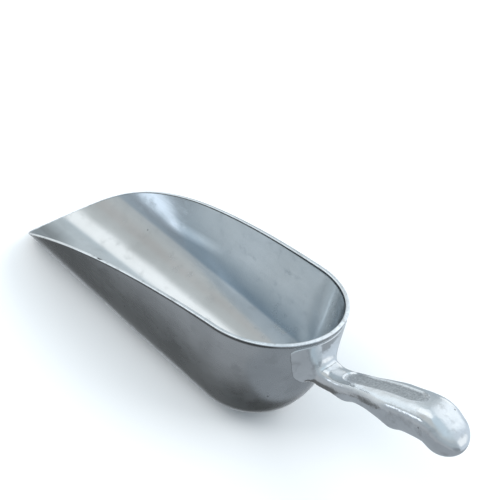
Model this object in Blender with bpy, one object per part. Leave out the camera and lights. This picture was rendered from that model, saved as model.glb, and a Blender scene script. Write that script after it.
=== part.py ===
import math

import bmesh
import bpy
from mathutils import Vector

# Sizes are in metres. The lip points to -X, the handle to +X, and the bowl stands on Z = 0.

# Bowl
bowl_depth = 0.0845
back_half_width = 0.050
lip_half_width = 0.0543
trough_length = 0.1872
wall = 0.003
back_fullness = 2.97
lip_fullness = 2.18
base_flat_drop = 0.0008

# Rim line, seen from the side: a curve from the lip that ends in a straight slope at the back
rim_back_slope = 0.123
rim_lip_pull = (0.0208, 0.0288)
rim_back_pull = 0.1278

# Handle: distance behind the bowl, rise above the root of the neck, half width
neck_below_rim = 0.0267
grip_rows = (
    (0.0060, 0.0000, 0.0094),
    (0.0125, 0.0008, 0.0087),
    (0.0200, 0.0028, 0.0090),
    (0.0290, 0.0073, 0.0091),
    (0.0380, 0.0111, 0.0101),
    (0.0470, 0.0144, 0.0119),
    (0.0560, 0.0176, 0.0135),
    (0.0650, 0.0212, 0.0136),
    (0.0740, 0.0245, 0.0139),
    (0.0830, 0.0263, 0.0140),
    (0.0916, 0.0240, 0.0133),
)
top_share = 0.75
under_share = 1.05
top_fullness = 3.2
under_fullness = 2.1
knob_length = 0.0142

# Finger swells: distance behind the bowl, size, spread
swells = ((0.0215, 0.0010, 0.0040), (0.0570, 0.0014, 0.0045))

# Row at which the handle starts and the saddle pad ends
split_row = 1

# Label recess on top of the handle, in row steps along the grip
recess_start = 2.0
recess_end = 8.0
recess_half_width = 0.0058
recess_depth = 0.0009
recess_cut_height = 0.004

# Saddle pad between the handle and the bowl
pad_half_width = 0.0300
pad_below_rim = 0.0032
pad_fall = 0.0175
pad_fullness = 3.6
pad_edge = 0.0013
pad_flare_depth = 0.0070
joint_gap = 0.0003

# Mesh fineness: number of steps
trough_steps = 34
back_steps = 28
section_steps = 17
grip_steps_per_row = 4
ring_steps = 40
knob_steps = 9
flare_steps = 7
pad_face_rings = 8


def clear_scene():
    for item in list(bpy.data.objects):
        bpy.data.objects.remove(item)


def aluminium(name, shade, roughness):
    material = bpy.data.materials.new(name)
    material.use_nodes = True
    shader = material.node_tree.nodes["Principled BSDF"]
    shader.inputs["Base Color"].default_value = (shade, shade, shade * 1.02, 1.0)
    shader.inputs["Metallic"].default_value = 1.0
    shader.inputs["Roughness"].default_value = roughness
    return material


def finish(mesh_data, name, material, sharp_angle):
    """Turns a bmesh into a named, smooth shaded object with closed, outward faces."""
    bmesh.ops.remove_doubles(mesh_data, verts=mesh_data.verts, dist=1e-6)
    bmesh.ops.recalc_face_normals(mesh_data, faces=mesh_data.faces)
    mesh = bpy.data.meshes.new(name)
    mesh_data.to_mesh(mesh)
    mesh_data.free()
    mesh.shade_smooth()
    mesh.set_sharp_from_angle(angle=math.radians(sharp_angle))
    mesh.materials.append(material)
    item = bpy.data.objects.new(name, mesh)
    bpy.context.collection.objects.link(item)
    return item


def skin(mesh_data, rows, closed):
    """Adds faces between neighbouring rows of vertices."""
    count = len(rows[0])
    last = count if closed else count - 1
    for row, following in zip(rows, rows[1:]):
        for k in range(last):
            after = (k + 1) % count
            mesh_data.faces.new((row[k], row[after], following[after], following[k]))


def cubic(points, share):
    """A point on a cubic Bezier curve."""
    keep = 1.0 - share
    weights = (keep ** 3, 3 * share * keep ** 2, 3 * share ** 2 * keep, share ** 3)
    return [sum(weight * point[k] for weight, point in zip(weights, points)) for k in range(2)]


def rim_height_at_back_axis():
    return bowl_depth - back_half_width * rim_back_slope


def rim_curve(share):
    """Side view of the rim from the lip, share 0, to the back axis, share 1: distance back, height."""
    top = rim_height_at_back_axis()
    points = (
        (0.0, 0.0),
        rim_lip_pull,
        (trough_length - rim_back_pull, top - rim_back_pull * rim_back_slope),
        (trough_length, top),
    )
    return cubic(points, share)


def rim_share_at_height(height):
    low = 0.0
    high = 1.0
    for _ in range(50):
        middle = 0.5 * (low + high)
        if rim_curve(middle)[1] < height:
            low = middle
        else:
            high = middle
    return high


def section_angle(height, depth, drop, fullness):
    """The section angle at which the wall has climbed to a height above the floor."""
    whole = depth + drop
    return math.acos(max(0.0, 1.0 - (height + drop) / whole) ** (fullness / 2))


def section_points(half_width, floor, drop, fullness, rim_height):
    """One half of a bowl section, from the middle of the floor to the rim: offset, height."""
    depth = bowl_depth - floor
    whole = depth + drop
    first = section_angle(0.0, depth, drop, fullness)
    last = section_angle(max(0.0, rim_height - floor), depth, drop, fullness)
    points = [(0.0, floor)]
    for k in range(section_steps):
        angle = first + (last - first) * k / (section_steps - 1)
        offset = half_width * math.sin(angle) ** (2 / fullness)
        height = floor - drop + whole * (1.0 - math.cos(angle) ** (2 / fullness))
        points.append((offset, max(floor, height)))
    return points


def bowl_surface(mesh_data, inset, floor, drop):
    """Rows of vertices from the lip along one side, round the back and along the other side."""
    start = rim_share_at_height(floor) if floor > 0 else 0.0
    stations = []
    for i in range(trough_steps + 1):
        share = start + (1.0 - start) * (i / trough_steps) ** 1.5
        back, height = rim_curve(share)
        to_lip = 1.0 - back / trough_length
        half_width = back_half_width + (lip_half_width - back_half_width) * to_lip - inset
        fullness = back_fullness + (lip_fullness - back_fullness) * to_lip
        points = section_points(half_width, floor, drop, fullness, height)
        stations.append((back - trough_length, points))
    rows = []
    for place, points in stations:
        rows.append([mesh_data.verts.new((place, -offset, height)) for offset, height in points])
    radius = back_half_width - inset
    for i in range(1, back_steps):
        turn = math.pi * i / back_steps - math.pi / 2
        height = rim_height_at_back_axis() + radius * math.cos(turn) * rim_back_slope
        points = section_points(radius, floor, drop, back_fullness, height)
        rows.append([
            mesh_data.verts.new((offset * math.cos(turn), offset * math.sin(turn), height))
            for offset, height in points
        ])
    for place, points in reversed(stations):
        rows.append([mesh_data.verts.new((place, offset, height)) for offset, height in points])
    skin(mesh_data, rows, False)
    return rows


def build_bowl(material):
    mesh_data = bmesh.new()
    outside = bowl_surface(mesh_data, 0.0, 0.0, base_flat_drop)
    inside = bowl_surface(mesh_data, wall, wall, 0.0)
    skin(mesh_data, [[row[-1] for row in outside], [row[-1] for row in inside]], False)
    for end in (0, -1):
        skin(mesh_data, [outside[end], inside[end]], False)
    return finish(mesh_data, "bowl", material, 40)


def row_value(position, column):
    """Smooth value between the grip rows, a Catmull-Rom curve."""
    low = min(max(int(position), 0), len(grip_rows) - 2)
    share = position - low
    values = [grip_rows[min(max(low + k, 0), len(grip_rows) - 1)][column] for k in (-1, 0, 1, 2)]
    before, left, right, beyond = values
    slope_left = (right - before) / 2
    slope_right = (beyond - left) / 2
    square = share * share
    cube = square * share
    return (
        (2 * cube - 3 * square + 1) * left
        + (cube - 2 * square + share) * slope_left
        + (3 * square - 2 * cube) * right
        + (cube - square) * slope_right
    )


def neck_height():
    return bowl_depth - neck_below_rim


def grip_middle(position):
    return Vector((back_half_width + row_value(position, 0), 0.0, neck_height() + row_value(position, 1)))


def grip_frame(position):
    """Middle of the grip, its direction and the direction of its top at a row position."""
    step = 0.02
    middle = grip_middle(position)
    along = (grip_middle(position + step) - grip_middle(position - step)).normalized()
    return middle, along, Vector((-along.z, 0.0, along.x))


def rounded_point(turn, side, reach, fullness):
    """A point on a rounded rectangle at an angle from its middle: sideways, upwards."""
    along = abs(math.cos(turn)) ** fullness
    across = abs(math.sin(turn)) ** fullness
    share = (along + across) ** (-1 / fullness)
    return side * share * math.cos(turn), reach * share * math.sin(turn)


def grip_outline(half_width, extra_under):
    """Points round one grip section: sideways, upwards."""
    points = []
    for k in range(ring_steps):
        turn = 2 * math.pi * k / ring_steps
        upper = math.sin(turn) >= 0
        fullness = top_fullness if upper else under_fullness
        reach = top_share * half_width if upper else under_share * half_width + extra_under
        points.append(rounded_point(turn, half_width, reach, fullness))
    return points


def swell_at(distance):
    return sum(size * math.exp(-((distance - place) / spread) ** 2) for place, size, spread in swells)


def grip_ring(position, shift=0.0):
    """World points of the grip section at a row position, moved along the grip by a shift."""
    middle, along, top = grip_frame(position)
    middle = middle + along * shift
    outline = grip_outline(row_value(position, 2), swell_at(middle.x - back_half_width))
    return [middle + Vector((0.0, side, 0.0)) + top * up for side, up in outline]


def build_handle(material):
    mesh_data = bmesh.new()
    last = len(grip_rows) - 1
    steps = round((last - split_row) * grip_steps_per_row)
    rings = [grip_ring(split_row + (last - split_row) * i / steps) for i in range(steps + 1)]
    middle, along, _ = grip_frame(last)
    for i in range(1, knob_steps):
        turn = math.pi / 2 * i / knob_steps
        rings.append([
            middle + (point - middle) * math.cos(turn) + along * knob_length * math.sin(turn)
            for point in rings[steps]
        ])
    rows = [[mesh_data.verts.new(point) for point in ring] for ring in rings]
    skin(mesh_data, rows, True)
    mesh_data.faces.new(rows[0])
    tip = mesh_data.verts.new(middle + along * knob_length)
    for k in range(ring_steps):
        mesh_data.faces.new((rows[-1][k], rows[-1][(k + 1) % ring_steps], tip))
    handle = finish(mesh_data, "handle", material, 40)
    cut = handle.modifiers.new("label_recess", "BOOLEAN")
    cut.operation = "DIFFERENCE"
    cut.solver = "EXACT"
    cut.object = build_recess_cutter(material)
    return handle


def build_recess_cutter(material):
    """A long block with round ends that follows the top of the grip."""
    mesh_data = bmesh.new()
    steps = 30
    rows = []
    start, _, _ = grip_frame(recess_start)
    end, _, _ = grip_frame(recess_end)
    for i in range(steps + 1):
        swing = 0.5 - 0.5 * math.cos(math.pi * (i + 0.5) / (steps + 1))
        position = recess_start + (recess_end - recess_start) * swing
        middle, _, top = grip_frame(position)
        from_end = min((middle - start).length, (end - middle).length, recess_half_width)
        short = recess_half_width - from_end
        half_width = math.sqrt(recess_half_width ** 2 - short ** 2)
        floor = top_share * row_value(position, 2) - recess_depth
        corners = ((-1, 0.0), (1, 0.0), (1, recess_cut_height), (-1, recess_cut_height))
        rows.append([
            mesh_data.verts.new(middle + Vector((0.0, side * half_width, 0.0)) + top * (floor + lift))
            for side, lift in corners
        ])
    skin(mesh_data, rows, True)
    mesh_data.faces.new(rows[0])
    mesh_data.faces.new(rows[-1])
    cutter = finish(mesh_data, "recess_cutter", material, 40)
    cutter.hide_render = True
    cutter.display_type = "WIRE"
    return cutter


def back_wall_distance(side, height):
    """How far behind the back axis the outside of the round back lies at a side offset and height."""
    whole = bowl_depth + base_flat_drop
    fall = (bowl_depth - height) / whole
    radius = back_half_width * (1.0 - fall ** back_fullness) ** (1 / back_fullness)
    return math.sqrt(radius ** 2 - side ** 2)


def pad_outline():
    """Points round the edge of the saddle pad: sideways, upwards."""
    pad_rise = neck_below_rim - pad_below_rim
    points = []
    for k in range(ring_steps):
        turn = 2 * math.pi * k / ring_steps
        reach = pad_rise if math.sin(turn) >= 0 else pad_fall
        points.append(rounded_point(turn, pad_half_width, reach, pad_fullness))
    return points


def build_neck_saddle(material):
    """A pad on the round back of the bowl that flares into the neck of the handle."""
    mesh_data = bmesh.new()
    middle, _, _ = grip_frame(0)
    neck = grip_outline(grip_rows[0][2], 0.0)
    pad = pad_outline()

    def ring(flare, stand_off, scale=1.0):
        points = []
        for (neck_side, neck_up), (pad_side, pad_up) in zip(neck, pad):
            side = scale * (neck_side + (pad_side - neck_side) * flare)
            height = middle.z + scale * (neck_up + (pad_up - neck_up) * flare)
            place = back_wall_distance(side, height) + joint_gap + stand_off
            points.append(Vector((place, side, height)))
        return points

    rings = [ring(1.0, 0.0, i / pad_face_rings) for i in range(1, pad_face_rings + 1)]
    for i in range(flare_steps + 1):
        turn = math.pi / 2 * i / flare_steps
        stand_off = pad_edge + (pad_flare_depth - pad_edge) * (1.0 - math.cos(turn))
        rings.append(ring(1.0 - math.sin(turn), stand_off))
    rings.append(grip_ring(split_row, -joint_gap))
    rows = [[mesh_data.verts.new(point) for point in one] for one in rings]
    skin(mesh_data, rows, True)
    mesh_data.faces.new(rows[-1])
    hub = mesh_data.verts.new((back_wall_distance(0.0, middle.z) + joint_gap, 0.0, middle.z))
    for k in range(ring_steps):
        mesh_data.faces.new((rows[0][(k + 1) % ring_steps], rows[0][k], hub))
    return finish(mesh_data, "neck_saddle", material, 40)


def centre_on_origin(items):
    """Moves every mesh so that the whole object is centred over the origin."""
    places = [corner.co.x for item in items for corner in item.data.vertices if not item.hide_render]
    shift = -(min(places) + max(places)) / 2
    for item in items:
        for corner in item.data.vertices:
            corner.co.x += shift
    return shift


def build():
    clear_scene()
    build_bowl(aluminium("bowl_aluminium", 0.72, 0.34))
    build_neck_saddle(aluminium("saddle_aluminium", 0.75, 0.30))
    build_handle(aluminium("handle_aluminium", 0.77, 0.28))
    centre_on_origin([item for item in bpy.data.objects if item.type == "MESH"])


build()
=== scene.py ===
import math

import bmesh
import bpy
from mathutils import Matrix, Vector, noise


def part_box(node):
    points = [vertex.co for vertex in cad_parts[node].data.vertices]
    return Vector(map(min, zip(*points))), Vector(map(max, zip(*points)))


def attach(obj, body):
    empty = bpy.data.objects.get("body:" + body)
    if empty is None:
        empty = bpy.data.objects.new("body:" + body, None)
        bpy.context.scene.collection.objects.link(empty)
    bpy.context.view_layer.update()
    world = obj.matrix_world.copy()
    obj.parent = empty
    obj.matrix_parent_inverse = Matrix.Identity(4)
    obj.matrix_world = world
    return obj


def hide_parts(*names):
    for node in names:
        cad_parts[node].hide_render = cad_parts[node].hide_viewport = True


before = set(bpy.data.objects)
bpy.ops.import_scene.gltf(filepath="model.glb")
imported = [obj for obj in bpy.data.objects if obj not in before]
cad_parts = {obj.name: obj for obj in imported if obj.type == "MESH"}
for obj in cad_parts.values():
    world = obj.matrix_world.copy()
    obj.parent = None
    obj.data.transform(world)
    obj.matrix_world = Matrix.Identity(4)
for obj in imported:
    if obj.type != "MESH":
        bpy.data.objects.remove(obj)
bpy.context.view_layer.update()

# metres throughout, lip to -X, handle to +X, standing on Z = 0
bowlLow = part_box("bowl")[0]
scene = bpy.context.scene


# small helpers for node trees
def plug(tree, value, socket):
    if isinstance(value, bpy.types.NodeSocket):
        tree.links.new(value, socket)
    else:
        socket.default_value = value


def addNode(tree, kind, values=None, **settings):
    node = tree.nodes.new(kind)
    for name, value in settings.items():
        setattr(node, name, value)
    for key, value in (values or {}).items():
        plug(tree, value, node.inputs[key])
    return node


def calc(tree, operation, *values):
    node = tree.nodes.new("ShaderNodeMath")
    node.operation = operation
    for value, socket in zip(values, node.inputs):
        plug(tree, value, socket)
    return node.outputs[0]


def product(tree, *values):
    result = values[0]
    for value in values[1:]:
        result = calc(tree, "MULTIPLY", result, value)
    return result


def blendOf(tree, share, first, second):
    # first where share is 0, second where it is 1
    gap = calc(tree, "SUBTRACT", second, first)
    return calc(tree, "ADD", first, calc(tree, "MULTIPLY", share, gap))


def between(tree, value, reach, shares=(0.0, 1.0)):
    # the first share at the first end of the reach, the second at its other end, and held beyond both
    low, high = reach
    first, last = shares
    values = {"Value": value, "From Min": low, "From Max": high, "To Min": first, "To Max": last}
    return addNode(tree, "ShaderNodeMapRange", values).outputs["Result"]


def mixOf(tree, share, first, last):
    return addNode(tree, "ShaderNodeMix", {"Factor": share, 6: first, 7: last}, data_type="RGBA").outputs[2]


def tint(tree, tone, mask, share, colour):
    # lays a colour over the tone where the mask is 1
    return mixOf(tree, calc(tree, "MULTIPLY", mask, share), tone, (*colour, 1.0))


# camera and stage
viewpoint = {
    "azimuth": 33.62, "elevation": 38.66, "roll": 15.99, "distance": 1.022,
    "aim": (-0.0287, 0.0333, 0.0659), "lens": 114.92, "sensorWidth": 36.0, "clipStart": 0.05,
}


def placeCamera(setup):
    a, e, r = (math.radians(setup[name]) for name in ("azimuth", "elevation", "roll"))
    back = Vector((math.sin(a) * math.cos(e), -math.cos(a) * math.cos(e), math.sin(e)))
    flat = Vector((math.cos(a), math.sin(a), 0.0))
    lift = back.cross(flat)
    right = flat * math.cos(r) + lift * math.sin(r)
    up = lift * math.cos(r) - flat * math.sin(r)
    camera = bpy.data.objects.new("camera", bpy.data.cameras.new("camera"))
    turn = Matrix((right, up, back)).transposed()
    camera.matrix_world = Matrix.Translation(Vector(setup["aim"]) + back * setup["distance"]) @ turn.to_4x4()
    camera.data.lens = setup["lens"]
    camera.data.sensor_width = setup["sensorWidth"]
    camera.data.clip_start = setup["clipStart"]
    scene.collection.objects.link(camera)
    scene.camera = camera


studio = {
    "floorShade": 0.90, "floorReach": 6.0, "floorRoughness": 0.9,
    # height of the direction looked in, then the colour seen there
    "tent": (
        (-1.0, (0.02, 0.02, 0.02)),
        (-0.95, (0.07, 0.075, 0.075)),
        (-0.88, (0.14, 0.15, 0.155)),
        (-0.76, (0.42, 0.45, 0.48)),
        (-0.6, (0.46, 0.50, 0.54)),
        (-0.4, (0.42, 0.47, 0.52)),
        (-0.1, (0.46, 0.54, 0.59)),
        (0.2, (0.46, 0.53, 0.59)),
        (0.5, (0.55, 0.62, 0.66)),
        (1.0, (0.67, 0.82, 0.93)),
    ),
    # lighter and darker cloths: azimuth, height, inner and outer half angle in degrees, colour
    "cloths": (
        (66, 3, 22, 60, (0.70, 0.80, 0.90)),
        (92, 40, 8, 34, (1.10, 1.20, 1.28)),
        (-175, 2, 20, 62, (0.78, 0.84, 0.87)),
        (198, 48, 8, 45, (1.02, 1.13, 1.20)),
        (178, 62, 8, 26, (1.25, 1.33, 1.38)),
        (-153, 21, 9, 26, (1.00, 1.12, 1.20)),
        (-112, 44, 16, 36, (0.62, 0.67, 0.69)),
        (-126, 35, 2, 12, (0.59, 0.61, 0.62)),
        (-119, -6, 3, 10, (1.50, 1.65, 1.82)),
        (-119, 6, 1, 5, (0.34, 0.37, 0.40)),
        (-150, -80, 14, 27, (0.10, 0.11, 0.115)),
        (-158, -63, 15, 29, (0.14, 0.15, 0.155)),
        (124, -46, 10, 26, (0.62, 0.66, 0.70)),
        (40, 10, 5, 18, (1.10, 1.17, 1.22)),
        (108, 12, 6, 16, (1.20, 1.27, 1.30)),
        (4, -26, 12, 27, (0.30, 0.34, 0.38)),
    ),
    # west, east, south and north edges of the card, and its height
    "card": {"reach": (0.068, 0.24, -0.10, 0.11), "level": 0.0004, "shade": (0.35, 0.39, 0.43)},
    "lamps": (
        {"place": (-0.8, -1.0, 1.4), "width": 1.2, "watts": 16.0},
        {"place": (1.0, 0.9, 1.5), "width": 1.4, "watts": 16.0},
    ),
}


def lightStudio(setup):
    # a soft light tent all round; the lamps only light the floor
    world = bpy.data.worlds.new("studioLight")
    scene.world = world
    world.use_nodes = True
    tree = world.node_tree
    tree.nodes.clear()
    direction = addNode(tree, "ShaderNodeTexCoord").outputs["Generated"]
    height = addNode(tree, "ShaderNodeSeparateXYZ", {0: direction}).outputs["Z"]
    ramp = addNode(tree, "ShaderNodeValToRGB", {"Fac": calc(tree, "MULTIPLY_ADD", height, 0.5, 0.5)})
    marks = ramp.color_ramp.elements
    for k, (level, colour) in enumerate(setup["tent"]):
        mark = marks[k] if k < 2 else marks.new(0.5 + 0.5 * level)
        mark.position = 0.5 + 0.5 * level
        mark.color = (*colour, 1.0)
    seen = ramp.outputs["Color"]
    for azimuth, rise, inner, outer, colour in setup["cloths"]:
        a, e = math.radians(azimuth), math.radians(rise)
        aim = Vector((math.cos(a) * math.cos(e), math.sin(a) * math.cos(e), math.sin(e)))
        facing = addNode(tree, "ShaderNodeVectorMath", {0: direction, 1: aim}, operation="DOT_PRODUCT")
        share = addNode(tree, "ShaderNodeMapRange", {
            "Value": facing.outputs["Value"], "From Min": math.cos(math.radians(outer)),
            "From Max": math.cos(math.radians(inner)),
        }, interpolation_type="SMOOTHSTEP")
        seen = mixOf(tree, share.outputs["Result"], seen, (*colour, 1.0))
    shine = addNode(tree, "ShaderNodeBackground", {"Color": seen, "Strength": 1.0})
    addNode(tree, "ShaderNodeOutputWorld", {"Surface": shine.outputs[0]})

    for lamp in setup["lamps"]:
        data = bpy.data.lights.new("softLamp", "AREA")
        data.energy = lamp["watts"]
        data.size = lamp["width"]
        light = bpy.data.objects.new("softLamp", data)
        light.location = lamp["place"]
        light.rotation_mode = "QUATERNION"
        light.rotation_quaternion = (-Vector(lamp["place"])).to_track_quat("-Z", "Y")
        light.visible_glossy = False
        scene.collection.objects.link(light)


def flatSheet(name, reach, level):
    west, east, south, north = reach
    material = bpy.data.materials.new(name)
    material.use_nodes = True
    mesh = bpy.data.meshes.new(name)
    corners = ((west, south), (east, south), (east, north), (west, north))
    mesh.from_pydata([(x, y, level) for x, y in corners], [], [(0, 1, 2, 3)])
    mesh.materials.append(material)
    sheet = bpy.data.objects.new(name, mesh)
    scene.collection.objects.link(sheet)
    return sheet, material.node_tree.nodes["Principled BSDF"].inputs


def layFloor(setup):
    reach = setup["floorReach"]
    floor, shader = flatSheet("floor", (-reach, reach, -reach, reach), 0.0)
    shade = setup["floorShade"]
    shader["Base Color"].default_value = (shade, shade, shade, 1.0)
    shader["Roughness"].default_value = setup["floorRoughness"]
    floor.visible_glossy = False


def layCard(card):
    # a pale card under the handle, seen only in the metal, that lifts the underside of the grip
    sheet, shader = flatSheet("card", card["reach"], card["level"])
    shader["Base Color"].default_value = (0.0, 0.0, 0.0, 1.0)
    shader["Roughness"].default_value = 1.0
    shader["Emission Color"].default_value = (*card["shade"], 1.0)
    shader["Emission Strength"].default_value = 1.0
    sheet.visible_camera = False
    sheet.visible_diffuse = False
    sheet.visible_shadow = False


scene.view_settings.view_transform = "Standard"
placeCamera(viewpoint)
lightStudio(studio)
layFloor(studio)
layCard(studio["card"])
print("camera, light and floor are in place")


# detail and roughness of each noise in the aluminium
noiseKinds = {
    "cloud": (3.0, 0.55), "line": (4.0, 0.65), "lump": (2.0, 0.55),
    "grain": (2.0, 0.55), "stain": (4.0, 0.55), "sand": (4.0, 0.55),
}
nick = {
    # a small dent on the inner edge of the near rim, with painted shade on its floor
    "place": (-0.0800, -0.0484, 0.0600), "reach": 0.0024, "depth": 0.0008,
    "dentShadeEdge": (0.0030, 0.0025), "dentShadeShare": 0.9, "tone": (0.03, 0.03, 0.03),
}


def pitsOf(tree, place, look):
    # a small round pit in some of the cells
    cells = addNode(tree, "ShaderNodeTexVoronoi", {"Vector": place, "Scale": look["pitScale"]})
    chosen = addNode(tree, "ShaderNodeSeparateColor", {0: cells.outputs["Color"]}).outputs["Red"]
    hole = between(tree, cells.outputs["Distance"], (look["pitReach"], look["pitFloor"] * look["pitReach"]))
    start = 1 - look["pitShare"]
    return product(tree, hole, between(tree, chosen, (start, start + look["pitChoice"])))


def paintedWallShading(tree, tone, place, clouds, wall):
    spot = addNode(tree, "ShaderNodeSeparateXYZ", {0: place}).outputs
    x, y, z = spot["X"], spot["Y"], spot["Z"]

    def mask(value, reach):
        return between(tree, value, wall[reach])

    def near(value, middle, reach):
        return mask(calc(tree, "ABSOLUTE", calc(tree, "SUBTRACT", value, wall[middle])), reach)

    # painted shade: above a soft line along the foot of the walls the metal is painted darker and bluer,
    # darkest just above the line
    uneven = calc(tree, "MULTIPLY_ADD", clouds, wall["wander"], z)
    wallShade = mask(uneven, "wallShadeRise")
    tone = tint(tree, tone, wallShade, wall["wallShadeShare"], wall["wallShadeTone"])
    ahead = calc(tree, "SUBTRACT", x, wall["footMiddle"])
    leaning = calc(tree, "MULTIPLY_ADD", ahead, -wall["footLean"], uneven)
    foot = product(tree, wallShade, mask(leaning, "footRise"))
    tone = tint(tree, tone, foot, wall["footShadeShare"], wall["footShadeTone"])
    # painted highlights: a bright band along each wall, and a bright line up the back
    slant = calc(tree, "MULTIPLY_ADD", x, -wall["bandLean"], z)
    band = product(tree, near(slant, "bandHeight", "bandEdge"), mask(x, "bandRear"), mask(x, "bandFront"))
    line = product(tree, near(x, "linePlace", "lineEdge"), mask(y, "lineSide"),
                   mask(z, "lineFoot"), mask(z, "lineTop"))
    band = product(tree, band, wall["highlightBandShare"])
    bright = calc(tree, "MAXIMUM", band, product(tree, line, wall["highlightLineShare"]))
    tone = mixOf(tree, bright, tone, (*wall["paintedHighlightTone"], 1.0))
    # painted shade on the corner at the lip
    cornerShade = product(tree, mask(y, "cornerShadeSide"), mask(x, "cornerShadeFront"))
    return tint(tree, tone, cornerShade, wall["cornerShadeShare"], wall["cornerShadeTone"])


def castAluminium(name, look, wall=None):
    # cast, then polished by hand: cloudy tone, uneven gloss, fine polishing lines, stains and a few pits;
    # where asked, painted shade and painted highlights on the inner walls, and always painted shade at the
    # rim dent
    material = bpy.data.materials.new(name)
    material.use_nodes = True
    tree = material.node_tree
    shader = tree.nodes["Principled BSDF"]
    shader.inputs["Metallic"].default_value = 1.0
    place = addNode(tree, "ShaderNodeTexCoord").outputs["Object"]

    def cloud(kind, where=place):
        detail, roughness = noiseKinds[kind]
        values = {"Vector": where, "Scale": look[kind + "Scale"], "Detail": detail, "Roughness": roughness}
        return addNode(tree, "ShaderNodeTexNoise", values).outputs["Fac"]

    clouds = cloud("cloud")
    drawn = addNode(tree, "ShaderNodeMapping", {"Vector": place, "Scale": look["lineStretch"]}).outputs[0]
    lines = cloud("line", drawn)
    sand = cloud("sand")
    stain = between(tree, cloud("stain"), look["stainReach"])
    pit = pitsOf(tree, place, look)
    sunk = addNode(tree, "ShaderNodeAttribute", {}, attribute_name="recess").outputs["Fac"]

    shade = between(tree, clouds, look["cloudReach"])
    tone = mixOf(tree, shade, (*look["dark"], 1.0), (*look["light"], 1.0))
    tone = tint(tree, tone, lines, look["lineTone"], look["dark"])
    tone = tint(tree, tone, stain, look["stainTone"], look["stainColour"])
    tone = tint(tree, tone, pit, look["pitTone"], look["pitColour"])
    # painted shade and painted highlights on the inner walls
    if wall:
        tone = paintedWallShading(tree, tone, place, clouds, wall)
    # painted shade: a near-black patch over the rim dent
    away = addNode(tree, "ShaderNodeVectorMath", {0: place, 1: nick["place"]}, operation="DISTANCE")
    dent = between(tree, away.outputs["Value"], nick["dentShadeEdge"])
    tone = tint(tree, tone, dent, nick["dentShadeShare"], nick["tone"])
    sandy = between(tree, sand, look["sandReach"], look["sandTone"])
    tone = tint(tree, tone, sunk, sandy, look["sunkTone"])
    plug(tree, tone, shader.inputs["Base Color"])

    gloss = blendOf(tree, look["glossLines"], clouds, lines)
    gloss = between(tree, gloss, look["glossReach"], (look["smooth"], look["rough"]))
    gloss = calc(tree, "MULTIPLY_ADD", stain, look["stainRough"], gloss)
    gloss = calc(tree, "MULTIPLY_ADD", sunk, look["sunkRough"], gloss)
    plug(tree, gloss, shader.inputs["Roughness"])

    relief = calc(tree, "MULTIPLY", cloud("lump"), look["lumpRelief"])
    heights = (
        (lines, look["lineRelief"]), (cloud("grain"), look["grainRelief"]),
        (pit, -look["pitRelief"]), (product(tree, sunk, sand), look["sandRelief"]),
    )
    for height, amount in heights:
        relief = calc(tree, "MULTIPLY_ADD", height, amount, relief)
    bump = addNode(tree, "ShaderNodeBump", {"Height": relief, "Strength": 1.0, "Distance": 1.0})
    plug(tree, bump.outputs[0], shader.inputs["Normal"])
    return material


# darker than the inside: partly the duller cast skin of the outside, partly painted shade for the dark
# surroundings it mirrors
outsideFinishAndShade = {
    "dark": (0.48, 0.49, 0.50), "light": (0.63, 0.64, 0.65), "cloudScale": 26.0, "cloudReach": (0.3, 0.7),
    "lineScale": 260.0, "lineStretch": (0.12, 1.0, 1.0), "lineTone": 0.25, "lineRelief": 0.000018,
    "lumpScale": 60.0, "lumpRelief": 0.00010, "grainScale": 1500.0, "grainRelief": 0.000008,
    "stainScale": 80.0, "stainReach": (0.56, 0.70), "stainTone": 0.16, "stainColour": (0.20, 0.20, 0.19),
    "pitScale": 130.0, "pitReach": 0.10, "pitFloor": 0.4, "pitShare": 0.22, "pitChoice": 0.02,
    "pitTone": 0.75, "pitColour": (0.07, 0.07, 0.07), "pitRelief": 0.00010,
    "smooth": 0.22, "rough": 0.32, "glossLines": 0.45, "glossReach": (0.35, 0.65), "stainRough": 0.10,
    # the sandy floor of a recess
    "sandScale": 800.0, "sandReach": (0.36, 0.64), "sandTone": (0.30, 0.85), "sandRelief": 0.00014,
    "sunkTone": (0.34, 0.35, 0.36), "sunkRough": 0.16,
}
insideFinish = dict(
    outsideFinishAndShade, dark=(0.60, 0.605, 0.60), light=(0.72, 0.725, 0.725), smooth=0.13, rough=0.22,
    lineStretch=(0.20, 1.0, 1.0), lumpScale=45.0, stainScale=110.0, stainTone=0.12, pitShare=0.14,
)
rimFinish = dict(
    outsideFinishAndShade, dark=(0.78, 0.79, 0.80), light=(0.94, 0.95, 0.96), smooth=0.12, rough=0.24,
    cloudScale=90.0, lumpScale=330.0, lumpRelief=0.00016, pitShare=0.06, stainScale=200.0, stainTone=0.35,
)
gripFinish = dict(
    outsideFinishAndShade, dark=(0.70, 0.71, 0.72), light=(0.82, 0.83, 0.84), smooth=0.12, rough=0.20,
    cloudScale=60.0, lineScale=320.0, lineRelief=0.000010, lumpScale=210.0, lumpRelief=0.00022,
    stainScale=110.0, stainTone=0.25, pitShare=0.10,
)
# painted shade and painted highlights on the inside of the bowl
innerWallPaintedLight = {
    # each pair of measures runs from no effect to full effect
    "wander": 0.0016, "wallShadeRise": (0.0225, 0.0244), "wallShadeShare": 0.70, "wallShadeTone": (0.50, 0.56, 0.61),
    "footMiddle": -0.02, "footLean": 0.15, "footRise": (0.047, 0.028),
    "footShadeShare": 0.60, "footShadeTone": (0.28, 0.34, 0.39),
    "bandLean": 0.14, "bandHeight": 0.0448, "bandEdge": (0.0048, 0.0008),
    "bandRear": (-0.054, -0.076), "bandFront": (-0.112, -0.092), "highlightBandShare": 0.9,
    "linePlace": 0.0333, "lineEdge": (0.0019, 0.0002), "lineSide": (0.030, 0.034),
    "lineFoot": (0.036, 0.056), "lineTop": (0.080, 0.064), "highlightLineShare": 0.55,
    "paintedHighlightTone": (0.90, 0.95, 1.0),
    "cornerShadeSide": (0.002, -0.008), "cornerShadeFront": (-0.136, -0.157),
    "cornerShadeShare": 0.65, "cornerShadeTone": (0.22, 0.23, 0.23),
}
print("finishes are defined")


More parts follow.
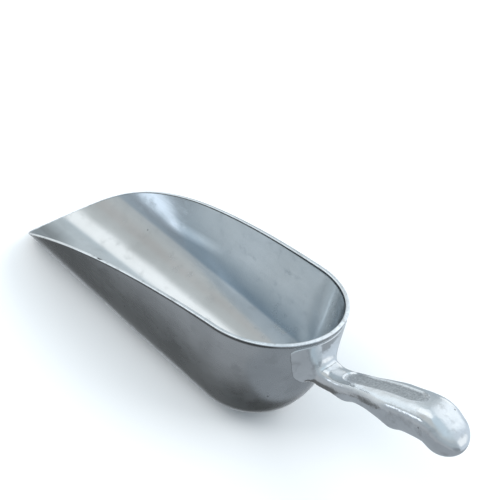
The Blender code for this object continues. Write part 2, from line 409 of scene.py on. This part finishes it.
# one skin that follows the scoop's rule, then its wall and rounded rim
bowl = {
    "depth": 0.0845, "backHalfWidth": 0.050, "lipHalfWidth": 0.0543, "troughLength": 0.1872,
    "backFullness": 2.97, "lipFullness": 2.18, "floorDrop": 0.0008,
    "rimSlope": 0.123, "lipPullBack": 0.0208, "lipPullUp": 0.0288, "backPull": 0.1278,
    "roundShare": 0.36, "floorBlend": 0.0007, "lipCrowding": 1.4, "edgeFade": 0.008,
    "stepsAlong": 321, "stepsUp": 70, "easeShare": 0.6, "mergeDistance": 0.00001,
    "waveScale": 38.0, "waveDepth": 0.00016, "waveSeed": 4.0, "waveFade": 0.006,
}
bowlWall = {
    "lipThickness": 0.0009, "backThickness": 0.0024, "taperPower": 0.7, "rimRound": 0.0008,
    # rim section: across the wall (1 outside, -1 inside) and height; it stands a little proud of both faces
    "rimProfile": (
        (1, 0.0), (1, 0.5), (0.93, 0.82), (0.78, 0.97), (0.45, 1.0), (0, 0.99),
        (-0.45, 1.0), (-0.78, 0.97), (-0.93, 0.82), (-1, 0.5), (-1, 0.0),
    ),
    "proudOutside": 0.00016, "proudInside": 0.00002, "proudFrom": 0.001, "proudRise": 0.008,
}


def newSizedTree(name, sizes):
    tree = bpy.data.node_groups.new(name, "GeometryNodeTree")
    tree.is_modifier = True
    sockets = {}
    for label, value in sizes.items():
        kind = "NodeSocketInt" if isinstance(value, int) else "NodeSocketFloat"
        sockets[label] = tree.interface.new_socket(label, in_out="INPUT", socket_type=kind)
    sockets["finish"] = tree.interface.new_socket("finish", in_out="INPUT", socket_type="NodeSocketMaterial")
    tree.interface.new_socket("Geometry", in_out="OUTPUT", socket_type="NodeSocketGeometry")
    return tree, sockets


def bowlSkinTree(sizes):
    tree, sockets = newSizedTree("bowlSkin", sizes)
    given = tree.nodes.new("NodeGroupInput").outputs

    def do(operation, *values):
        return calc(tree, operation, *values)

    def times(*values):
        return product(tree, *values)

    grid = addNode(tree, "GeometryNodeMeshGrid", {
        "Size X": 1.0, "Size Y": 1.0, "Vertices X": given["stepsAlong"], "Vertices Y": given["stepsUp"],
    })
    spot = addNode(tree, "ShaderNodeSeparateXYZ", {0: addNode(tree, "GeometryNodeInputPosition").outputs[0]})
    sideways = do("MULTIPLY", spot.outputs["X"], 2.0)      # -1 and 1 at the lip, 0 at the middle of the back
    climb = do("ADD", spot.outputs["Y"], 0.5)              # 0 on the floor's middle line, 1 on the rim
    fromBack = do("ABSOLUTE", sideways)
    side = do("SIGN", sideways)

    # rim line, seen from the side, as a cubic curve from lip to back axis
    top = do("SUBTRACT", given["depth"], times(given["backHalfWidth"], given["rimSlope"]))
    trough = do("DIVIDE", do("SUBTRACT", 1.0, fromBack), do("SUBTRACT", 1.0, given["roundShare"]))
    share = do("POWER", do("MINIMUM", do("MAXIMUM", trough, 0.0), 1.0), given["lipCrowding"])
    keep = do("SUBTRACT", 1.0, share)
    early = times(3.0, share, keep, keep)
    late = times(3.0, share, share, keep)
    end = times(share, share, share)
    pullBack = do("SUBTRACT", given["troughLength"], given["backPull"])
    pullUp = do("SUBTRACT", top, times(given["backPull"], given["rimSlope"]))
    back = do("ADD", do("ADD", times(early, given["lipPullBack"]), times(late, pullBack)),
              times(end, given["troughLength"]))
    rise = do("ADD", do("ADD", times(early, given["lipPullUp"]), times(late, pullUp)), times(end, top))

    # turn round the back
    turned = do("MINIMUM", do("DIVIDE", fromBack, given["roundShare"]), 1.0)
    turn = times(math.pi / 2, do("SUBTRACT", 1.0, turned))
    rim = do("ADD", rise, times(given["backHalfWidth"], given["rimSlope"], do("SINE", turn)))
    dropShare = do("MINIMUM", do("DIVIDE", rim, given["edgeFade"]), 1.0)
    rim = do("SUBTRACT", rim, do("MULTIPLY", given["edgeRound"], dropShare))
    rim = do("MAXIMUM", rim, 0.0)

    # cross section: a rounded rectangle that opens towards the lip
    toLip = do("SUBTRACT", 1.0, do("DIVIDE", back, given["troughLength"]))
    halfWidth = blendOf(tree, toLip, given["backHalfWidth"], given["lipHalfWidth"])
    fullness = blendOf(tree, toLip, given["backFullness"], given["lipFullness"])
    whole = do("ADD", given["depth"], given["floorDrop"])
    halfFull = do("DIVIDE", fullness, 2.0)
    corner = do("DIVIDE", 2.0, fullness)
    fall = do("SUBTRACT", 1.0, do("DIVIDE", do("ADD", rim, given["floorDrop"]), whole))
    last = do("ARCCOSINE", do("POWER", do("MAXIMUM", fall, 0.0), halfFull))
    eased = times(climb, climb, do("SUBTRACT", 3.0, do("MULTIPLY", climb, 2.0)))
    angle = times(last, blendOf(tree, given["easeShare"], climb, eased))
    offset = times(halfWidth, do("POWER", do("SINE", angle), corner))
    climbed = do("SUBTRACT", 1.0, do("POWER", do("COSINE", angle), corner))
    height = do("SUBTRACT", times(whole, climbed), given["floorDrop"])
    # the floor meets the walls without a crease, and rests level
    soft = times(given["floorBlend"], given["floorBlend"])
    height = times(0.5, do("ADD", height, do("SQRT", do("ADD", times(height, height), soft))))
    lowest = do("SQRT", do("ADD", times(given["floorDrop"], given["floorDrop"]), soft))
    rest = times(0.5, do("SUBTRACT", lowest, given["floorDrop"]))
    height = do("MAXIMUM", do("SUBTRACT", height, rest), 0.0)

    alongX = do("ADD", do("SUBTRACT", back, given["troughLength"]), times(offset, do("SINE", turn)))
    alongX = do("ADD", alongX, do("ADD", given["backAxis"], times(given["edgeRound"], toLip)))
    alongY = times(side, offset, do("COSINE", turn))
    place = addNode(tree, "ShaderNodeCombineXYZ", {"X": alongX, "Y": alongY, "Z": height}).outputs[0]
    shaped = addNode(tree, "GeometryNodeSetPosition", {"Geometry": grid.outputs["Mesh"], "Position": place})
    merged = addNode(tree, "GeometryNodeMergeByDistance", {
        "Geometry": shaped.outputs[0], "Distance": given["mergeDistance"],
    })

    # slow hollows left by casting and hand polishing, kept off the flat floor
    where = addNode(tree, "GeometryNodeInputPosition").outputs[0]
    clouds = addNode(tree, "ShaderNodeTexNoise", {
        "Vector": where, "W": given["waveSeed"], "Scale": given["waveScale"], "Detail": 1.0,
    }, noise_dimensions="4D")
    above = addNode(tree, "ShaderNodeSeparateXYZ", {0: where}).outputs["Z"]
    offFloor = do("MINIMUM", do("DIVIDE", above, given["waveFade"]), 1.0)
    depth = times(clouds.outputs["Fac"], given["waveDepth"], offFloor, -2.0)
    outwards = addNode(tree, "GeometryNodeInputNormal").outputs[0]
    push = addNode(tree, "ShaderNodeVectorMath", {0: outwards, "Scale": depth}, operation="SCALE")
    waved = addNode(tree, "GeometryNodeSetPosition", {
        "Geometry": merged.outputs[0], "Offset": push.outputs[0],
    })

    smooth = addNode(tree, "GeometryNodeSetShadeSmooth", {"Geometry": waved.outputs[0]})
    real = addNode(tree, "GeometryNodeRealizeInstances", {"Geometry": smooth.outputs[0]})
    coated = addNode(tree, "GeometryNodeSetMaterial", {
        "Geometry": real.outputs[0], "Material": given["finish"],
    })
    addNode(tree, "NodeGroupOutput", {0: coated.outputs[0]})
    return tree, sockets


def bakedTree(name, tree, sockets, sizes, finish):
    # runs the tree once and returns a plain mesh
    item = bpy.data.objects.new(name, bpy.data.meshes.new(name))
    scene.collection.objects.link(item)
    step = item.modifiers.new(name, "NODES")
    step.node_group = tree
    for label, value in sizes.items():
        step[sockets[label].identifier] = value
    step[sockets["finish"].identifier] = finish
    mesh = bpy.data.meshes.new_from_object(item.evaluated_get(bpy.context.evaluated_depsgraph_get()))
    item.modifiers.clear()
    bpy.data.objects.remove(item)
    return mesh


def rimLoop(sheet):
    # boundary vertices in order
    ahead = {}
    for edge in sheet.edges:
        if edge.is_boundary:
            for one, other in (edge.verts, reversed(edge.verts)):
                ahead.setdefault(one, []).append(other)
    start = min(ahead, key=lambda corner: (corner.co.x, corner.co.y))
    loop = [start, ahead[start][0]]
    while True:
        following = [corner for corner in ahead[loop[-1]] if corner != loop[-2]]
        if following[0] == start:
            return loop
        loop.append(following[0])


def thickenBowl(mesh, wall):
    # gives the skin its wall inwards and a rounded rim all the way round
    sheet = bmesh.new()
    sheet.from_mesh(mesh)
    sheet.normal_update()
    outerFaces = list(sheet.faces)
    corners = list(sheet.verts)
    rows = rimLoop(sheet)

    def thickness(point):
        share = min(max((point.x - bowlLow.x) / bowl["troughLength"], 0.0), 1.0)
        gain = wall["backThickness"] - wall["lipThickness"]
        return wall["lipThickness"] + gain * share ** wall["taperPower"]

    inner = {corner: sheet.verts.new(corner.co - corner.normal * thickness(corner.co)) for corner in corners}
    for face in outerFaces:
        made = sheet.faces.new([inner[corner] for corner in reversed(face.verts)])
        made.material_index = 1
        made.smooth = True

    # each rim point as the middle of the wall, a step across it and a step up
    count = len(rows)
    section = []
    for across, lift in wall["rimProfile"]:
        proud = wall["proudOutside"] if across > 0 else wall["proudInside"]
        ring = []
        for i, corner in enumerate(rows):
            direction = rows[(i + 1) % count].co - rows[i - 1].co
            outwards = direction.cross(corner.normal).normalized()
            half = thickness(corner.co) / 2
            middle = corner.co - corner.normal * half
            standing = proud * min(max((corner.co.z - wall["proudFrom"]) / wall["proudRise"], 0.0), 1.0)
            sideStep = corner.normal * (half + standing) * across
            ring.append((middle, sideStep, outwards * wall["rimRound"] * lift))
        section.append(ring)
    # the rim has to stand out from the skin, so find which way that is once
    sample = section[1][count // 2]
    sign = 1.0 if sample[2].z > 0 else -1.0
    rings = [rows]
    for ring in section:
        rings.append([sheet.verts.new(middle + side + up * sign) for middle, side, up in ring])
    rings.append([inner[corner] for corner in rows])
    for ring, following in zip(rings, rings[1:]):
        for i in range(count):
            after = (i + 1) % count
            made = sheet.faces.new((ring[i], ring[after], following[after], following[i]))
            made.material_index = 2
            made.smooth = True

    dent = Vector(nick["place"])
    for corner in sheet.verts:
        near = (corner.co - dent).length / nick["reach"]
        if near < 1.0:
            corner.co.z -= nick["depth"] * (1.0 - near * near)
    bmesh.ops.recalc_face_normals(sheet, faces=sheet.faces)
    mesh.clear_geometry()
    sheet.to_mesh(mesh)
    sheet.free()


def buildBowl():
    outside = castAluminium("bowlOutside", outsideFinishAndShade)
    sizes = dict(bowl, edgeRound=bowlWall["rimRound"], backAxis=bowlLow.x + bowl["troughLength"])
    for label in ("backHalfWidth", "lipHalfWidth"):
        sizes[label] -= bowlWall["proudOutside"]
    tree, sockets = bowlSkinTree(sizes)
    mesh = bakedTree("bowlSkin", tree, sockets, sizes, outside)
    mesh.name = "bowlShell"
    mesh.materials.clear()
    inside = castAluminium("bowlInside", insideFinish, innerWallPaintedLight)
    for finish in (outside, inside, castAluminium("bowlRim", rimFinish)):
        mesh.materials.append(finish)
    thickenBowl(mesh, bowlWall)
    piece = bpy.data.objects.new("bowlShell", mesh)
    scene.collection.objects.link(piece)
    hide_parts("bowl")
    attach(piece, "root")
    print("bowl shell:", len(mesh.polygons), "faces")


buildBowl()


# handle and its root, one smooth casting split where the record splits it
grip = {
    "neckBelowRim": 0.0267,
    # distance behind the bowl, rise above the root of the neck, half width
    "rows": (
        (0.0060, 0.0000, 0.0094), (0.0125, 0.0008, 0.0087), (0.0200, 0.0028, 0.0090),
        (0.0290, 0.0073, 0.0091), (0.0380, 0.0111, 0.0101), (0.0470, 0.0144, 0.0119),
        (0.0560, 0.0176, 0.0135), (0.0650, 0.0212, 0.0136), (0.0740, 0.0245, 0.0139),
        (0.0830, 0.0263, 0.0140), (0.0916, 0.0240, 0.0133),
    ),
    "topShare": 0.75, "underShare": 1.05, "topFullness": 3.2, "underFullness": 2.1, "knobLength": 0.0142,
    # finger swells on the underside: distance behind the bowl, size, spread
    "swells": ((0.0215, 0.0010, 0.0040), (0.0570, 0.0014, 0.0045)),
    "splitRow": 1, "around": 176, "neckSteps": 10, "stepsPerRow": 16, "knobSteps": 30,
    "recessStart": 2.0, "recessEnd": 8.0, "recessHalfWidth": 0.0058, "recessDepth": 0.0009,
    "recessEdge": 0.0009, "recessLip": 0.00015, "lipAway": 0.0005, "lipWidth": 0.0006, "recessFacing": 0.3,
    "sandScale": 700.0, "sandDepth": 0.00012, "waveScale": 110.0, "waveDepth": 0.00014,
}
root = {
    # height above the middle of the neck, half width of the flare on the wall
    "outline": (
        (0.0226, 0.0265), (0.0142, 0.0247), (0.0052, 0.0219), (-0.0023, 0.0192),
        (-0.0063, 0.0146), (-0.0102, 0.0096), (-0.0128, 0.0),
    ),
    "outlineCuts": 3, "edge": 0.0001, "depth": 0.0070, "sunk": 0.0006, "padSteps": 10, "flareSteps": 30,
}
backAxis = bowlLow.x + bowl["troughLength"]
neckHeight = bowl["depth"] - grip["neckBelowRim"]


def rowValue(position, column):
    rows = grip["rows"]
    low = min(max(int(position), 0), len(rows) - 2)
    share = position - low
    left, right = rows[low][column], rows[low + 1][column]
    before = rows[low - 1][column] if low > 0 else 2 * left - right
    beyond = rows[low + 2][column] if low + 2 < len(rows) else 2 * right - left
    slopeLeft = (right - before) / 2
    slopeRight = (beyond - left) / 2
    square = share * share
    cube = square * share
    return ((2 * cube - 3 * square + 1) * left + (cube - 2 * square + share) * slopeLeft
            + (3 * square - 2 * cube) * right + (cube - square) * slopeRight)


def gripMiddle(position):
    behind = backAxis + bowl["backHalfWidth"] + rowValue(position, 0)
    return Vector((behind, 0.0, neckHeight + rowValue(position, 1)))


def gripFrame(position):
    step = 0.02
    along = (gripMiddle(position + step) - gripMiddle(position - step)).normalized()
    return gripMiddle(position), along, Vector((-along.z, 0.0, along.x))


def roundedPoint(turn, side, reach, fullness):
    share = (abs(math.cos(turn)) ** fullness + abs(math.sin(turn)) ** fullness) ** (-1 / fullness)
    return side * share * math.cos(turn), reach * share * math.sin(turn)


def gripOutline(halfWidth, extraUnder):
    points = []
    for k in range(grip["around"]):
        turn = 2 * math.pi * k / grip["around"]
        upper = math.sin(turn) >= 0
        fullness = grip["topFullness"] if upper else grip["underFullness"]
        reach = grip["topShare"] * halfWidth if upper else grip["underShare"] * halfWidth + extraUnder
        points.append(roundedPoint(turn, halfWidth, reach, fullness))
    return points


def easeStep(value):
    value = min(max(value, 0.0), 1.0)
    return value * value * (3 - 2 * value)


def recessAt(x, side):
    # 0 on the handle's skin to 1 in the sunk panel, which has round ends; and the raised line round it
    start, end = gripMiddle(grip["recessStart"]), gripMiddle(grip["recessEnd"])
    inside = grip["recessHalfWidth"]
    away = math.hypot(side, min(min(x - start.x, end.x - x) - inside, 0.0))
    raised = math.exp(-((away - inside - grip["lipAway"]) / grip["lipWidth"]) ** 2)
    return easeStep((inside - away) / grip["recessEdge"]), raised


def gripRing(position):
    middle, along, top = gripFrame(position)
    distance = middle.x - backAxis - bowl["backHalfWidth"]
    extra = 0.0
    for place, size, spread in grip["swells"]:
        extra += size * math.exp(-((distance - place) / spread) ** 2)
    ring = []
    for side, up in gripOutline(rowValue(position, 2), extra):
        if up > 0:
            sunk, raised = recessAt(middle.x, side)
            sand = noise.noise(Vector((middle.x, side, 0.0)) * grip["sandScale"])
            up += grip["recessLip"] * raised - sunk * (grip["recessDepth"] - grip["sandDepth"] * sand)
        point = middle + Vector((0.0, side, 0.0)) + top * up
        hollow = grip["waveDepth"] * (noise.noise(point * grip["waveScale"]) - 1.0)
        ring.append(point + (point - middle).normalized() * hollow)
    return ring


def wallDistance(side, height):
    # how far behind the back axis the outside of the round back lies
    fall = (bowl["depth"] - height) / (bowl["depth"] + bowl["floorDrop"])
    fullness = bowl["backFullness"]
    radius = bowl["backHalfWidth"] * (1.0 - max(fall, 0.0) ** fullness) ** (1 / fullness)
    return math.sqrt(max(radius ** 2 - side ** 2, 0.0))


def smoothPath(path, cuts):
    # rounds the corners of a polyline by repeated cutting
    for _ in range(cuts):
        cut = [path[0]]
        for one, other in zip(path, path[1:]):
            cut.append(one.lerp(other, 0.25))
            cut.append(one.lerp(other, 0.75))
        cut.append(path[-1])
        path = cut
    return path


def crossingAt(loop, turn):
    # where a ray from the middle at this angle meets the closed outline
    ray = Vector((math.cos(turn), math.sin(turn)))
    tiny, slack = 1e-15, 1e-9
    for one, other in zip(loop, loop[1:] + loop[:1]):
        gap = other - one
        base = ray.x * gap.y - ray.y * gap.x
        if abs(base) < tiny:
            continue
        far = (one.x * gap.y - one.y * gap.x) / base
        share = (one.x * ray.y - one.y * ray.x) / base
        if far > 0 and -slack <= share <= 1 + slack:
            return ray * far


def flareOutline():
    # the shield shape of the root on the wall, one point for each point of the neck ring
    rows = root["outline"]
    path = [Vector((0.0, rows[0][0]))] + [Vector((half, up)) for up, half in rows]
    near = smoothPath(path, root["outlineCuts"])
    loop = near + [Vector((-point.x, point.y)) for point in reversed(near)][1:-1]
    around = grip["around"]
    return [crossingAt(loop, 2 * math.pi * k / around) for k in range(around)]


def rootRings():
    neck = gripOutline(grip["rows"][0][2], 0.0)
    outline = flareOutline()

    def ring(flare, standOff, scale=1.0):
        points = []
        for (neckSide, neckUp), pad in zip(neck, outline):
            side = scale * (neckSide + (pad.x - neckSide) * flare)
            height = neckHeight + scale * (neckUp + (pad.y - neckUp) * flare)
            points.append(Vector((backAxis + wallDistance(side, height) + standOff, side, height)))
        return points

    inner = root["padSteps"]
    rings = [ring(1.0, -root["sunk"], i / inner) for i in range(1, inner + 1)]
    steps = root["flareSteps"]
    reach = root["depth"] - root["edge"]
    for i in range(steps + 1):
        turn = math.pi / 2 * i / steps
        rings.append(ring(1.0 - math.sin(turn), root["edge"] + reach * (1.0 - math.cos(turn))))
    return rings


def knobRings(ring):
    # the round end carries on from the last ring with the same taper
    last = len(grip["rows"]) - 1
    step = 0.1
    long = grip["knobLength"]
    middle, along, _ = gripFrame(last)
    half = rowValue(last, 2)
    taper = (half - rowValue(last - step, 2)) / (middle - gripMiddle(last - step)).length * long / half
    rings = []
    for i in range(1, grip["knobSteps"]):
        turn = math.pi / 2 * i / grip["knobSteps"]
        scale = math.cos(turn) * (1 + taper * math.sin(turn))
        rings.append([middle + (point - middle) * scale + along * long * math.sin(turn) for point in ring])
    return rings, middle + along * long


def skinRings(rings, firstPoint, lastPoint):
    # points and faces of a closed tube with both ends drawn to a point
    count = len(rings[0])
    points = [point for ring in rings for point in ring] + [firstPoint, lastPoint]
    faces = []
    for i in range(len(rings) - 1):
        for k in range(count):
            after = (k + 1) % count
            faces.append((i * count + k, i * count + after, (i + 1) * count + after, (i + 1) * count + k))
    end = (len(rings) - 1) * count
    for k in range(count):
        after = (k + 1) % count
        faces.append((after, k, len(points) - 2))
        faces.append((end + k, end + after, len(points) - 1))
    return points, faces


def facesOutwards(points, faces):
    # by the sign of the volume they enclose
    volume = 0.0
    for first, *others in faces:
        for one, other in zip(others, others[1:]):
            volume += points[first].dot(points[one].cross(points[other]))
    return volume > 0


def meshOf(name, points, faces):
    mesh = bpy.data.meshes.new(name)
    if not facesOutwards(points, faces):
        faces = [tuple(reversed(face)) for face in faces]
    mesh.from_pydata(points, [], faces)
    mesh.update()
    mesh.shade_smooth()
    return mesh


def castPiece(name, rings, firstPoint, lastPoint, wholeNormals, material, node):
    points, faces = skinRings(rings, firstPoint, lastPoint)
    mesh = meshOf(name, points, faces)
    # at the split both pieces shade as one casting
    normals = []
    count = len(rings) * len(rings[0])
    for corner in mesh.loops:
        k = corner.vertex_index
        normals.append(wholeNormals[k] if k < count else mesh.vertices[k].normal)
    mesh.normals_split_custom_set(normals)
    # the material finds the sunk panel by this
    shares = mesh.attributes.new("recess", "FLOAT", "POINT").data
    for corner, share in zip(mesh.vertices, shares):
        onTop = corner.normal.z > grip["recessFacing"]
        share.value = recessAt(corner.co.x, corner.co.y)[0] if onTop else 0.0
    mesh.materials.append(material)
    piece = bpy.data.objects.new(name, mesh)
    scene.collection.objects.link(piece)
    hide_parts(node)
    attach(piece, "root")
    print(name + ":", len(mesh.polygons), "faces")


def buildHandleAndRoot():
    last = len(grip["rows"]) - 1
    split = grip["splitRow"]
    onWall = rootRings()
    neckSteps = grip["neckSteps"]
    neck = [gripRing(split * i / neckSteps) for i in range(1, neckSteps + 1)]
    steps = (last - split) * grip["stepsPerRow"]
    hand = [gripRing(split + (last - split) * i / steps) for i in range(steps + 1)]
    knob, tip = knobRings(hand[-1])
    behind = Vector((backAxis + wallDistance(0.0, neckHeight) - root["sunk"], 0.0, neckHeight))

    whole = onWall + neck + hand[1:] + knob
    points, faces = skinRings(whole, behind, tip)
    wholeMesh = meshOf("wholeCasting", points, faces)
    normals = [corner.normal.copy() for corner in wholeMesh.vertices]
    bpy.data.meshes.remove(wholeMesh)
    start = (len(onWall) + len(neck) - 1) * grip["around"]

    rootMetal = castAluminium("rootAluminium", gripFinish)
    gripMetal = castAluminium("gripAluminium", gripFinish)
    middle = gripMiddle(split)
    castPiece("neckRoot", onWall + neck, behind, middle, normals, rootMetal, "neck_saddle")
    castPiece("gripHandle", hand + knob, middle, tip, normals[start:], gripMetal, "handle")


buildHandleAndRoot()

scene.view_layers[0].update()
